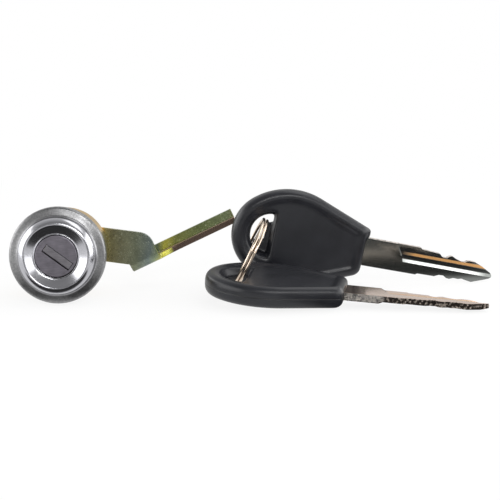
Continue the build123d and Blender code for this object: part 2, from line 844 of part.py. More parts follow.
ring_half_turn = (360 - ring_jog) / 2
ring_first = ring_jog_at + ring_jog / 2
ring_stations = [ring_station(ring_first + ring_half_turn * i, -1) for i in range(3)]
ring_stations += [ring_station(ring_first + 360 + ring_half_turn * i, 1) for i in range(3)]
with BuildPart() as key_ring:
    with BuildLine() as ring_path:
        biarc_chain(ring_stations)
    with BuildSketch(Plane(origin=ring_path.wire() @ 0, z_dir=ring_path.wire() % 0)):
        Circle(ring_wire / 2)
    sweep()
export("key_ring", key_ring.part, polished_steel)
ring_gap = least_gap(ring_path.wire(), ring_wire, ring_radius)
print("key ring least gap", round(ring_gap, 2))

# places that the joints and mounts use
def ring_way(angle):
    """Direction of the ring's wire at an angle on the ring."""
    return ring_plane.x_dir * -sin(angle) + ring_plane.y_dir * cos(angle)


arm_tip = Vector(*arm_point(arm_length, -arm_below_axis), -arm_back)
for name, spot in (
    ("lock axis", lock.origin),
    ("lock out", lock.z_dir),
    ("panel seat", lock.from_local_coords(Vector(0, 0, -seat_depth))),
    ("shutter hinge", plug_section.from_local_coords(Vector(flap_pin_offset, pin_level, 0))),
    ("shutter axis", plug.x_dir),
    ("key 1 pivot", key_1_hold),
    ("key 1 pivot axis", ring_way(ring_angle_1)),
    ("key 2 pivot", key_2_hold),
    ("key 2 pivot axis", ring_way(ring_angle_2)),
    ("ring centre", ring_centre),
    ("arm tip", lock.from_local_coords(arm_tip)),
):
    print(name, [round(v, 4) for v in tuple(spot)])
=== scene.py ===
import math

import bpy
from mathutils import Matrix, Vector


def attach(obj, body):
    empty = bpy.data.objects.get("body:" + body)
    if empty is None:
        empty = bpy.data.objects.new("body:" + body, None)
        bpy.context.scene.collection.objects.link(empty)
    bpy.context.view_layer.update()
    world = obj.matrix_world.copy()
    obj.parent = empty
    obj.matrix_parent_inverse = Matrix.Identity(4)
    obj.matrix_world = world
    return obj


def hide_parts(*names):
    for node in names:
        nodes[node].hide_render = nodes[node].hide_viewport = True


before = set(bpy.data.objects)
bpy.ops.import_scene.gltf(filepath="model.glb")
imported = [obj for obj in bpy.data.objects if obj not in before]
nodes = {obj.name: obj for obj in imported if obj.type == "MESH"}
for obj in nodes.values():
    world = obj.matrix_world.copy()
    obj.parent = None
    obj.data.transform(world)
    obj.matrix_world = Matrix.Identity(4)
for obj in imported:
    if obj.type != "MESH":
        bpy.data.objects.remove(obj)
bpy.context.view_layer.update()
mm = 0.001
print("frame loaded:", len(nodes), "nodes")


# Places that pieces are built in: x along the piece, z out of its face, origins in mm
def placeMatrix(origin, along, normal):
    x = Vector(along).normalized()
    z = Vector(normal).normalized()
    turn = Matrix((x, z.cross(x), z)).transposed().to_4x4()
    return Matrix.Translation(Vector(origin) * mm) @ turn


places = {
    "lock": placeMatrix((-58.14, -9.68, 14.1966), (1, 0, 0), (0, -0.9944, 0.1059)),
    # the standing key, then the lying one
    "key1": placeMatrix((7.36, 13.91, 15.2359), (0.9738, 0.1094, -0.1992), (0.1116, -0.9937, 0)),
    "key2": placeMatrix(
        (-0.0267, -7.1343, 5.2053), (0.9842, -0.1665, -0.0609), (0.0524, -0.055, 0.9971)),
    "ring": placeMatrix((-3.0346, 5.5986, 11.2125), (0.0276, 0.9996, 0), (0.8988, -0.0248, -0.4377)),
}


# Camera, light and floor

# all in mm
camera = {
    "place": (-2.64, -436.3, 102.6),
    "aim": (-2.64, -8.08, 15.5),
    "lens": 109.0,
    "sensor": 36.0,
    "clipStart": 10.0,
}


# Turn of a camera or lamp that faces along a direction
def facing(way):
    return way.normalized().to_track_quat("-Z", "Y").to_euler()


def setCamera():
    bpy.ops.object.camera_add(location=Vector(camera["place"]) * mm)
    shot = bpy.context.object
    shot.name = "photoCamera"
    shot.rotation_euler = facing(Vector(camera["aim"]) - Vector(camera["place"]))
    shot.data.lens = camera["lens"]
    shot.data.sensor_width = camera["sensor"]
    shot.data.clip_start = camera["clipStart"] * mm
    bpy.context.scene.camera = shot
    bpy.context.scene.view_settings.view_transform = "Standard"


# each soft box: place and size in mm, power in watts; all face the object's middle
softBoxes = {
    "leftBox": {"place": (-480, 0, 150), "size": (1000, 340), "power": 2.2},
    "rightBox": {"place": (430, 0, 150), "size": (1000, 340), "power": 2.2},
    "topBox": {"place": (270, 120, 600), "size": (640, 340), "power": 1.0},
    "frontBox": {"place": (110, -520, 350), "size": (380, 130), "power": 1.1},
}


def setLights():
    for name, box in softBoxes.items():
        bpy.ops.object.light_add(type="AREA", location=Vector(box["place"]) * mm)
        lamp = bpy.context.object
        lamp.name = name
        lamp.data.shape = "RECTANGLE"
        lamp.data.size = box["size"][0] * mm
        lamp.data.size_y = box["size"][1] * mm
        lamp.data.energy = box["power"]
        lamp.rotation_euler = facing(-Vector(box["place"]))


def linearColour(code):
    out = []
    for i in (1, 3, 5):
        c = int(code[i : i + 2], 16) / 255
        out.append(c / 12.92 if c <= 0.04045 else ((c + 0.055) / 1.055) ** 2.4)
    return (*out, 1.0)


# A colour made darker or lighter, up to white
def shaded(code, times):
    return [min(1.0, c * times) for c in linearColour(code)]


def grey(level):
    return (level, level, level, 1.0)


# An input given as a socket is linked, anything else is set.
def setInputs(tree, node, inputs):
    for name, value in inputs.items():
        if isinstance(value, bpy.types.NodeSocket):
            tree.links.new(value, node.inputs[name])
        else:
            node.inputs[name].default_value = value


# One node with its settings and inputs, and a colour ramp's stops
def addNode(tree, kind, settings=None, inputs=None, stops=None):
    node = tree.nodes.new(kind)
    for name, value in (settings or {}).items():
        setattr(node, name, value)
    setInputs(tree, node, inputs or {})
    if stops:
        elements = node.color_ramp.elements
        while len(elements) > 1:
            elements.remove(elements[-1])
        elements[0].position, elements[0].color = stops[0]
        for position, colour in stops[1:]:
            elements.new(position).color = colour
    return node


studio = {
    # how bright metal sees the room: pale behind the object, dim behind the camera, with the
    # change between these two parts of a direction's depth
    "wall": 0.66,
    "behindCamera": 0.24,
    "changeFrom": -0.45,
    "changeTo": 0.6,
    # what the room gives to everything else
    "fill": 0.5,
    # the paper on the table, in mm
    "floorSize": 6000.0,
    "floorDrop": 0.2,
    "floorTone": "#F8F8F7",
    "floorGlow": 0.86,
    "fadeStart": 70.0,
    "fadeEnd": 240.0,
    "mirroredPaper": 0.85,
    # oval dark patches on the table that only glossy rays see, painted dark reflections in the metal:
    # middle and half size in mm, shine, and the shares of the half size between which their soft edge
    # lies
    "darkReflectionPatches": [((-58.0, -34.2), (29.0, 20.4)), ((75.0, -38.0), (62.0, 49.5))],
    "darkReflectionLevel": 0.04,
    "darkReflectionEdge": (0.92, 1.08),
}


def setWorld():
    s = studio
    world = bpy.context.scene.world or bpy.data.worlds.new("studio")
    bpy.context.scene.world = world
    world.name = "studio"
    world.use_nodes = True
    tree = world.node_tree
    tree.nodes.clear()
    coords = addNode(tree, "ShaderNodeTexCoord")
    split = addNode(tree, "ShaderNodeSeparateXYZ", inputs={"Vector": coords.outputs["Generated"]})
    depth = addNode(tree, "ShaderNodeMapRange", inputs={
        "Value": split.outputs["Y"], "From Min": s["changeFrom"], "From Max": s["changeTo"],
        "To Min": s["behindCamera"], "To Max": s["wall"]})
    room = addNode(tree, "ShaderNodeBackground", inputs={
        "Color": grey(1.0), "Strength": depth.outputs["Result"]})
    fill = addNode(tree, "ShaderNodeBackground", inputs={"Color": grey(1.0), "Strength": s["fill"]})
    plain = addNode(tree, "ShaderNodeBackground", inputs={"Color": grey(1.0), "Strength": 1.0})
    path = addNode(tree, "ShaderNodeLightPath")
    lit = addNode(tree, "ShaderNodeMixShader", inputs={
        "Fac": path.outputs["Is Glossy Ray"], 1: fill.outputs[0], 2: room.outputs[0]})
    seen = addNode(tree, "ShaderNodeMixShader", inputs={
        "Fac": path.outputs["Is Camera Ray"], 1: lit.outputs[0], 2: plain.outputs[0]})
    addNode(tree, "ShaderNodeOutputWorld", inputs={"Surface": seen.outputs[0]})


# How bright metal sees a spot of the table: white paper, or one of the painted dark reflection patches
def mirroredTable(tree, spot):
    s = studio
    level = s["mirroredPaper"]
    for middle, half in s["darkReflectionPatches"]:
        moved = addNode(tree, "ShaderNodeVectorMath", {"operation": "SUBTRACT"}, {
            0: spot, 1: (middle[0] * mm, middle[1] * mm, 0)})
        scaled = addNode(tree, "ShaderNodeVectorMath", {"operation": "DIVIDE"}, {
            0: moved.outputs["Vector"], 1: (half[0] * mm, half[1] * mm, 1)})
        reach = addNode(tree, "ShaderNodeVectorMath", {"operation": "LENGTH"}, {
            0: scaled.outputs["Vector"]})
        darkReflection = addNode(tree, "ShaderNodeMapRange", {"interpolation_type": "SMOOTHSTEP"}, {
            "Value": reach.outputs["Value"], "From Min": s["darkReflectionEdge"][0],
            "From Max": s["darkReflectionEdge"][1], "To Min": s["darkReflectionLevel"], "To Max": s["mirroredPaper"]})
        level = addNode(tree, "ShaderNodeMath", {"operation": "MINIMUM"}, {
            0: level, 1: darkReflection.outputs["Result"]}).outputs[0]
    return level


def makeFloor():
    s = studio
    bpy.ops.mesh.primitive_plane_add(size=s["floorSize"] * mm, location=(0, 0, -s["floorDrop"] * mm))
    floor = bpy.context.object
    floor.name = "studioFloor"
    paper = bpy.data.materials.new("whitePaperSweep")
    paper.use_nodes = True
    tree = paper.node_tree
    tree.nodes.clear()
    sheet = addNode(tree, "ShaderNodeBsdfDiffuse", inputs={"Color": linearColour(s["floorTone"])})
    glow = addNode(tree, "ShaderNodeEmission", inputs={"Color": grey(1.0), "Strength": 1.0})
    path = addNode(tree, "ShaderNodeLightPath")
    spot = addNode(tree, "ShaderNodeTexCoord").outputs["Object"]
    far = addNode(tree, "ShaderNodeVectorMath", {"operation": "LENGTH"}, {0: spot})
    fade = addNode(tree, "ShaderNodeMapRange", inputs={
        "Value": far.outputs["Value"], "From Min": s["fadeStart"] * mm,
        "From Max": s["fadeEnd"] * mm, "To Min": s["floorGlow"], "To Max": 1.0})
    # the camera sees the paper nearly white and keeps a faint shadow on it
    shown = addNode(tree, "ShaderNodeMixShader", inputs={
        "Fac": fade.outputs["Result"], 1: sheet.outputs[0], 2: glow.outputs[0]})
    mirrored = addNode(tree, "ShaderNodeEmission", inputs={
        "Color": grey(1.0), "Strength": mirroredTable(tree, spot)})
    other = addNode(tree, "ShaderNodeMixShader", inputs={
        "Fac": path.outputs["Is Glossy Ray"], 1: sheet.outputs[0], 2: mirrored.outputs[0]})
    surface = addNode(tree, "ShaderNodeMixShader", inputs={
        "Fac": path.outputs["Is Camera Ray"], 1: other.outputs[0], 2: shown.outputs[0]})
    addNode(tree, "ShaderNodeOutputMaterial", inputs={"Surface": surface.outputs[0]})
    floor.data.materials.append(paper)


setCamera()
setLights()
setWorld()
makeFloor()
print("camera, light and floor set")


# Materials

# In their settings a grain has its width in mm, its detail and how it is stretched, a range is
# the part of a noise's values that is used, and a relief is its strength and its depth in mm.
# Most of a noise's values lie between these two:
noiseLow = 0.3
noiseHigh = 0.7


def startMaterial(name, code, metallic, roughness):
    material = bpy.data.materials.new(name)
    material.use_nodes = True
    tree = material.node_tree
    tree.nodes.clear()
    shader = addNode(tree, "ShaderNodeBsdfPrincipled", inputs={
        "Base Color": linearColour(code), "Metallic": metallic, "Roughness": roughness})
    addNode(tree, "ShaderNodeOutputMaterial", inputs={"Surface": shader.outputs["BSDF"]})
    return material, tree, shader


# Gives a material's shader its colour, its roughness and its relief.
def dressShader(tree, shader, colour, roughness, height, relief):
    strength, depth = relief
    bump = addNode(tree, "ShaderNodeBump", inputs={
        "Height": height, "Strength": strength, "Distance": depth * mm})
    setInputs(tree, shader, {
        "Base Color": colour, "Roughness": roughness, "Normal": bump.outputs["Normal"]})


# Coordinates turned into a place's own axes, so that a pattern lies along the piece
def placedCoords(tree, place):
    inverse = places[place].inverted()
    coords = addNode(tree, "ShaderNodeTexCoord")
    return addNode(tree, "ShaderNodeMapping", {"vector_type": "POINT"}, {
        "Vector": coords.outputs["Object"], "Location": inverse.to_translation(),
        "Rotation": inverse.to_euler()}).outputs["Vector"]


# A grain of a real width in mm; a stretch below 1 draws it longer along that axis.
def grainPattern(tree, vector, width, detail, stretch=(1, 1, 1)):
    scaled = addNode(tree, "ShaderNodeMapping", {"vector_type": "POINT"}, {
        "Vector": vector, "Scale": stretch})
    return addNode(tree, "ShaderNodeTexNoise", inputs={
        "Vector": scaled.outputs["Vector"], "Scale": 1 / (width * mm), "Detail": detail}).outputs["Fac"]


bezelFinish = {
    "polished": "#C8C8CD",
    "polishedRoughness": 0.21,
    "satinDark": "#808081",
    "satinPale": "#A2A2A3",
    "satinRoughness": (0.3, 0.42),
    # radii in mm: where the satin band starts, is full and has its middle, and the flange's own
    "bandStart": 11.0,
    "bandFull": 11.7,
    "bandMiddle": 12.6,
    "flange": 14.0,
    # the satin's grain is drawn far coarser than the real one, so that it shows
    "satinWidth": 0.42,
    "satinDetail": 5.0,
    "patches": {"width": 3.0, "detail": 4.0},
    "relief": (0.25, 0.02),
}


# Polished stainless cap with a satin outer band: mirror-like crest, soft mottled rim
def bezelMaterial():
    s = bezelFinish
    material, tree, shader = startMaterial(
        "polishedStainlessCap", s["polished"], 1.0, s["polishedRoughness"])
    spot = placedCoords(tree, "lock")
    split = addNode(tree, "ShaderNodeSeparateXYZ", inputs={"Vector": spot})
    flat = addNode(tree, "ShaderNodeCombineXYZ", inputs={
        "X": split.outputs["X"], "Y": split.outputs["Y"]}).outputs["Vector"]
    radius = addNode(tree, "ShaderNodeVectorMath", {"operation": "LENGTH"}, {0: flat}).outputs["Value"]
    share = addNode(tree, "ShaderNodeMath", {"operation": "DIVIDE"}, {
        0: radius, 1: s["flange"] * mm}).outputs[0]
    band = addNode(tree, "ShaderNodeValToRGB", inputs={"Fac": share}, stops=[
        (s["bandStart"] / s["flange"], grey(0.0)),
        (s["bandFull"] / s["flange"], grey(1.0))]).outputs["Color"]
    # the satin's grain is a noise over the direction from the axis and the share of the radius
    way = addNode(tree, "ShaderNodeVectorMath", {"operation": "NORMALIZE"}, {0: flat}).outputs["Vector"]
    outward = addNode(tree, "ShaderNodeCombineXYZ", inputs={"Z": share}).outputs["Vector"]
    both = addNode(tree, "ShaderNodeVectorMath", {"operation": "ADD"}, {0: way, 1: outward})
    satin = addNode(tree, "ShaderNodeTexNoise", inputs={
        "Vector": both.outputs["Vector"], "Scale": s["bandMiddle"] / s["satinWidth"],
        "Detail": s["satinDetail"]}).outputs["Fac"]
    mottled = addNode(tree, "ShaderNodeValToRGB", inputs={"Fac": satin}, stops=[
        (noiseLow, linearColour(s["satinDark"])), (noiseHigh, linearColour(s["satinPale"]))])
    colour = addNode(tree, "ShaderNodeMix", {"data_type": "RGBA"}, {
        "Factor": band, "A": linearColour(s["polished"]), "B": mottled.outputs["Color"]})
    patchy = addNode(tree, "ShaderNodeMapRange", inputs={
        "Value": grainPattern(tree, spot, **s["patches"]), "From Min": noiseLow,
        "From Max": noiseHigh, "To Min": s["satinRoughness"][0], "To Max": s["satinRoughness"][1]})
    rough = addNode(tree, "ShaderNodeMix", {"data_type": "FLOAT"}, {
        "Factor": band, "A": s["polishedRoughness"], "B": patchy.outputs["Result"]})
    height = addNode(tree, "ShaderNodeMath", {"operation": "MULTIPLY"}, {0: satin, 1: band})
    dressShader(tree, shader, colour.outputs["Result"], rough.outputs["Result"],
                height.outputs[0], s["relief"])
    return material


faceFinish = {
    # the brushing is drawn coarser than the real one, so that it shows
    "brushing": {"width": 0.25, "detail": 4.0, "stretch": (0.08, 1.0, 1.0)},
    "brushingRange": (0.35, 0.65),
    "brushingDark": 0.62,
    "brushingShare": 0.5,
    "clouds": {"width": 2.2, "detail": 5.0},
    "cloudPale": 1.35,
    "relief": (0.35, 0.02),
}


# Steel brushed in one direction and clouded by handling: dull, slightly purple grey
def faceMaterial(name, code, roughness):
    s = faceFinish
    material, tree, shader = startMaterial(name, code, 1.0, roughness)
    spot = placedCoords(tree, "lock")
    brushing = grainPattern(tree, spot, **s["brushing"])
    tint = addNode(tree, "ShaderNodeValToRGB", inputs={
        "Fac": grainPattern(tree, spot, **s["clouds"])}, stops=[
        (noiseLow, linearColour(code)), (noiseHigh, shaded(code, s["cloudPale"]))])
    strokes = addNode(tree, "ShaderNodeValToRGB", inputs={"Fac": brushing}, stops=[
        (s["brushingRange"][0], grey(s["brushingDark"])), (s["brushingRange"][1], grey(1.0))])
    colour = addNode(tree, "ShaderNodeMix", {"data_type": "RGBA", "blend_type": "MULTIPLY"}, {
        "Factor": s["brushingShare"], "A": tint.outputs["Color"], "B": strokes.outputs["Color"]})
    dressShader(tree, shader, colour.outputs["Result"], roughness, brushing, s["relief"])
    return material


chromateFilm = {
    "base": "#A89A5E",
    "metallic": 0.92,
    "roughness": 0.3,
    "roughnessRange": (0.24, 0.4),
    # the film's tints along the sheet, as shares of the way between two places in mm
    "from": -47.0,
    "to": -5.0,
    "tints": [
        (0.0, "#D4AE5E"), (0.015, "#A8A074"), (0.12, "#8E8D70"), (0.24, "#828872"), (0.34, "#788480"),
        # the yellow-green at 0.42, where the arm leaves the plate, is a painted glint
        (0.38, "#909C7C"), (0.42, "#C4BE52"), (0.5, "#8C8E50"), (0.7, "#7C8658"), (0.88, "#85906A"),
        (1.0, "#8C7A44")],
    # how far the tints drift to and fro, as a share of that way
    "drift": 0.06,
    "driftClouds": {"width": 7.0, "detail": 4.0},
    "driftRange": (0.2, 0.8),
    "stains": {"width": 2.4, "detail": 5.0},
    "stainRange": (0.3, 0.62),
    "stainDark": 0.72,
    "stainShare": 0.9,
    "specks": {"width": 0.5, "detail": 2.0},
    "speckRange": (0.63, 0.78),
    "speckTone": "#DCE0C8",
    "speckShare": 0.6,
    # sheared front edge of the arm, with a painted pale highlight along its upper rim and the arm's
    # root and a dark stripe on the edge: tints by the place along the lock's axis, which points out of
    # the face, and how softly they start and end, in mm
    "shearedEdgeAndHighlight": [(-27.72, "#F5D8C8"), (-26.8, "#F5D8C8"), (-26.74, "#64544A"), (-26.3, "#64544A")],
    "edgeFade": 0.1,
    "relief": (0.12, 0.02),
}


# Yellow chromate over zinc: thin iridescent film, gold to olive and green-grey, with pale specks, a
# painted yellow glint at the arm's root and a painted highlight stripe on the arm's edge
def chromateMaterial():
    s = chromateFilm
    material, tree, shader = startMaterial(
        "yellowChromateZinc", s["base"], s["metallic"], s["roughness"])
    spot = addNode(tree, "ShaderNodeTexCoord").outputs["Object"]
    split = addNode(tree, "ShaderNodeSeparateXYZ", inputs={"Vector": spot})
    along = addNode(tree, "ShaderNodeMapRange", {"clamp": False}, {
        "Value": split.outputs["X"], "From Min": s["from"] * mm, "From Max": s["to"] * mm})
    drift = addNode(tree, "ShaderNodeMapRange", inputs={
        "Value": grainPattern(tree, spot, **s["driftClouds"]), "From Min": s["driftRange"][0],
        "From Max": s["driftRange"][1], "To Min": -s["drift"] / 2, "To Max": s["drift"] / 2})
    place = addNode(tree, "ShaderNodeMath", {"operation": "ADD"}, {
        0: along.outputs["Result"], 1: drift.outputs["Result"]})
    wash = addNode(tree, "ShaderNodeValToRGB", inputs={"Fac": place.outputs[0]}, stops=[
        (at, linearColour(code)) for at, code in s["tints"]])
    stains = addNode(tree, "ShaderNodeValToRGB", inputs={
        "Fac": grainPattern(tree, spot, **s["stains"])}, stops=[
        (s["stainRange"][0], grey(s["stainDark"])), (s["stainRange"][1], grey(1.0))])
    stained = addNode(tree, "ShaderNodeMix", {"data_type": "RGBA", "blend_type": "MULTIPLY"}, {
        "Factor": s["stainShare"], "A": wash.outputs["Color"], "B": stains.outputs["Color"]})
    speckle = grainPattern(tree, spot, **s["specks"])
    specks = addNode(tree, "ShaderNodeValToRGB", inputs={"Fac": speckle}, stops=[
        (s["speckRange"][0], grey(0.0)), (s["speckRange"][1], grey(s["speckShare"]))])
    specked = addNode(tree, "ShaderNodeMix", {"data_type": "RGBA"}, {
        "Factor": specks.outputs["Color"], "A": stained.outputs["Result"],
        "B": linearColour(s["speckTone"])})
    # the sheared edge has a pale stripe, which is a painted highlight, and a dark stripe
    start = s["shearedEdgeAndHighlight"][0][0] - s["edgeFade"]
    span = s["shearedEdgeAndHighlight"][-1][0] + s["edgeFade"] - start
    fade = s["edgeFade"] / span
    out = addNode(tree, "ShaderNodeSeparateXYZ", inputs={"Vector": placedCoords(tree, "lock")})
    depth = addNode(tree, "ShaderNodeMapRange", inputs={
        "Value": out.outputs["Z"], "From Min": start * mm, "From Max": (start + span) * mm})
    edge = addNode(tree, "ShaderNodeValToRGB", inputs={"Fac": depth.outputs["Result"]}, stops=[
        (0.0, grey(0.0)), (fade, grey(1.0)), (1 - fade, grey(1.0)), (1.0, grey(0.0))])
    stripes = addNode(tree, "ShaderNodeValToRGB", inputs={"Fac": depth.outputs["Result"]}, stops=[
        ((height - start) / span, linearColour(code)) for height, code in s["shearedEdgeAndHighlight"]])
    colour = addNode(tree, "ShaderNodeMix", {"data_type": "RGBA"}, {
        "Factor": edge.outputs["Color"], "A": specked.outputs["Result"], "B": stripes.outputs["Color"]})
    rough = addNode(tree, "ShaderNodeMapRange", inputs={
        "Value": speckle, "From Min": noiseLow, "From Max": noiseHigh,
        "To Min": s["roughnessRange"][0], "To Max": s["roughnessRange"][1]})
    dressShader(tree, shader, colour.outputs["Result"], rough.outputs["Result"], speckle, s["relief"])
    return material


plainFinish = {
    "detail": 4.0,
    "grainDark": 0.8,
    # least and most roughness, as shares of the metal's own
    "roughnessShares": (0.8, 1.25),
    "reliefStrength": 0.3,
}


# Plain metals that mostly lie hidden, such as cast zinc, brass and spring steel: slightly grained
def plainMetal(name, code, roughness, grain, depth):
    s = plainFinish
    material, tree, shader = startMaterial(name, code, 1.0, roughness)
    coords = addNode(tree, "ShaderNodeTexCoord")
    fine = grainPattern(tree, coords.outputs["Object"], grain, s["detail"])
    colour = addNode(tree, "ShaderNodeValToRGB", inputs={"Fac": fine}, stops=[
        (noiseLow, shaded(code, s["grainDark"])), (noiseHigh, linearColour(code))])
    low, high = s["roughnessShares"]
    rough = addNode(tree, "ShaderNodeMapRange", inputs={
        "Value": fine, "To Min": roughness * low, "To Max": roughness * high})
    dressShader(tree, shader, colour.outputs["Color"], rough.outputs["Result"], fine,
                (s["reliefStrength"], depth))
    return material


rubberFinish = {
    "spark": {"width": 0.35, "detail": 4.0},
    "dust": {"width": 6.0, "detail": 6.0},
    "dustRange": (0.35, 0.8),
    "dustPale": 1.5,
    # least and most roughness, as shares of the rubber's own
    "roughnessShares": (0.85, 1.2),
    "relief": (0.18, 0.03),
    # parting line: its colour, painted darker as shade in the groove, how much of the spark texture
    # stays beside it, and the relief
    "partingShade": "#0C0C0D",
    "partingSpark": 0.12,
    "partingRelief": (0.6, 0.12),
}


# Satin moulded rubber: near-black, faintly blue, fine spark texture and dusty handling marks.
# The half width of its parting line is given in mm, or 0 for a piece without one.
def rubberMaterial(name, place, code, roughness, parting):
    s = rubberFinish
    material, tree, shader = startMaterial(name, code, 0.0, roughness)
    spot = placedCoords(tree, place)
    spark = grainPattern(tree, spot, **s["spark"])
    dust = grainPattern(tree, spot, **s["dust"])
    colour = addNode(tree, "ShaderNodeValToRGB", inputs={"Fac": dust}, stops=[
        (s["dustRange"][0], linearColour(code)),
        (s["dustRange"][1], shaded(code, s["dustPale"]))]).outputs["Color"]
    low, high = s["roughnessShares"]
    rough = addNode(tree, "ShaderNodeMapRange", inputs={
        "Value": dust, "From Min": noiseLow, "From Max": noiseHigh,
        "To Min": roughness * low, "To Max": roughness * high})
    height, relief = spark, s["relief"]
    if parting:
        # a fine groove where the mould's two halves met, round the middle of the edge, painted darker
        # as its shade
        split = addNode(tree, "ShaderNodeSeparateXYZ", inputs={"Vector": spot})
        off = addNode(tree, "ShaderNodeMath", {"operation": "ABSOLUTE"}, {0: split.outputs["Z"]})
        groove = addNode(tree, "ShaderNodeMapRange", {"interpolation_type": "SMOOTHSTEP"}, {
            "Value": off.outputs[0], "From Min": 0.0, "From Max": parting * mm}).outputs["Result"]
        colour = addNode(tree, "ShaderNodeMix", {"data_type": "RGBA"}, {
            "Factor": groove, "A": linearColour(s["partingShade"]), "B": colour}).outputs["Result"]
        fine = addNode(tree, "ShaderNodeMath", {"operation": "MULTIPLY"}, {
            0: spark, 1: s["partingSpark"]})
        height = addNode(tree, "ShaderNodeMath", {"operation": "ADD"}, {
            0: groove, 1: fine.outputs[0]}).outputs[0]
        relief = s["partingRelief"]
    dressShader(tree, shader, colour, rough.outputs["Result"], height, relief)
    return material


wireFinish = {
    "nickel": "#DCCBB9",
    "roughness": 0.16,
    "roughnessRange": (0.12, 0.216),
    # the streaks are drawn coarser than the real ones, so that they show
    "streaks": {"width": 0.3, "detail": 4.0, "stretch": (0.12, 1.0, 1.0)},
    "streakDark": 0.7,
    "streakShare": 0.6,
    "wearAndHighlight": {"width": 2.6, "detail": 4.0},
    "wearRange": (0.35, 0.7),
    "wearPale": 1.25,
    "relief": (0.2, 0.02),
}


# Nickel-plated steel wire: bright warm grey, finely streaked and worn brighter in patches
def wireMaterial():
    s = wireFinish
    material, tree, shader = startMaterial("brightNickelWire", s["nickel"], 1.0, s["roughness"])
    spot = placedCoords(tree, "ring")
    streaks = grainPattern(tree, spot, **s["streaks"])
    warmHighlightShare = addNode(tree, "ShaderNodeValToRGB", inputs={
        "Fac": grainPattern(tree, spot, **s["wearAndHighlight"])}, stops=[
        (s["wearRange"][0], linearColour(s["nickel"])),
        (s["wearRange"][1], shaded(s["nickel"], s["wearPale"]))])
    lines = addNode(tree, "ShaderNodeValToRGB", inputs={"Fac": streaks}, stops=[
        (noiseLow, grey(s["streakDark"])), (noiseHigh, grey(1.0))])
    colour = addNode(tree, "ShaderNodeMix", {"data_type": "RGBA", "blend_type": "MULTIPLY"}, {
        "Factor": s["streakShare"], "A": warmHighlightShare.outputs["Color"], "B": lines.outputs["Color"]})
    rough = addNode(tree, "ShaderNodeMapRange", inputs={
        "Value": streaks, "From Min": noiseLow, "From Max": noiseHigh,
        "To Min": s["roughnessRange"][0], "To Max": s["roughnessRange"][1]})
    dressShader(tree, shader, colour.outputs["Result"], rough.outputs["Result"], streaks, s["relief"])
    return material


bladeFinish = {
    # a painted warm highlight on the groove's outer wall and a painted pale highlight on its inner
    # wall: distances in mm from the blade's middle line, within a span that holds the blade's width
    "warmHighlight": "#FFC684",
    "warmHighlightRoughness": 0.55,
    "warmHighlightBand": (1.1, 1.3, 2.05, 2.25),
    "paleHighlight": "#EFF1EE",
    "paleHighlightBand": (-1.15, -0.95, -0.32, -0.12),
    "span": 10.0,
    # where along the blade both painted highlight bands start and the pale one ends, in mm
    "bandStart": (36.5, 41.0),
    "paleHighlightEnd": (60.0, 64.5),
    # the drawing marks are coarser than the real ones, so that they show
    "drawing": {"width": 0.35, "detail": 4.0, "stretch": (0.1, 1.0, 1.0)},
    "drawingDark": 0.8,
    "drawingShare": 0.5,
    "relief": (0.08, 0.01),
}


